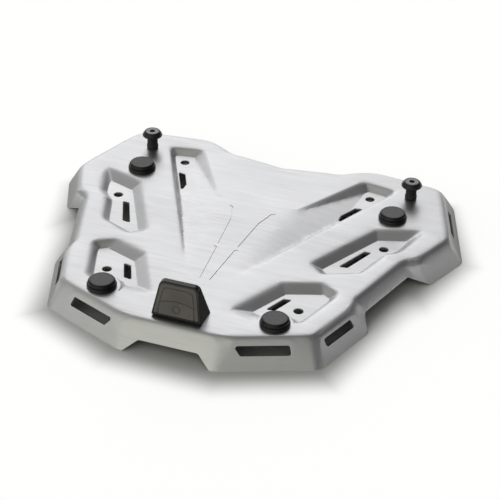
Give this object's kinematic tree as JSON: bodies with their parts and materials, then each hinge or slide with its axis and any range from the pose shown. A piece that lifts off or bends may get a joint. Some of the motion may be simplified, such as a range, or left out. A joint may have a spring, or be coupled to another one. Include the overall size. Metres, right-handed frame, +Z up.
{
  "type": "top case mounting plate",
  "caption": "Pressed aluminium motorcycle rack plate for a top case, with bolt recesses, strap slots in its skirt, rubber pads, mushroom lock studs and a front catch block.",
  "frame": {"origin": "centre of the rim's box on the surface the plate lies on", "axes": "+Z up out of the top face, +Y towards the lock studs, -Y towards the catch, X across the plate"},
  "size_m": [0.4036, 0.3498, 0.0585],
  "materials": {
    "aluminium": "satin brushed",
    "pad_rubber": "matte top, smooth rim",
    "black_metal": "satin black",
    "dark_steel": "blackened",
    "zinc_steel": "zinc plated",
    "black_plastic": "semi-gloss",
    "grey_plastic": "fine grain"
  },
  "bodies": {
    "root": {"plate": "aluminium", "pad_back_left": "pad_rubber", "pad_back_right": "pad_rubber", "pad_front_left": "pad_rubber", "pad_front_right": "pad_rubber", "stud_left": "black_metal", "stud_right": "black_metal", "stud_screws": "dark_steel", "stud_washers": "zinc_steel", "stud_nuts": "zinc_steel", "catch_body": "black_plastic", "catch_panel": "grey_plastic", "catch_screws": "dark_steel", "catch_washers": "zinc_steel"}
  },
  "joints": []
}
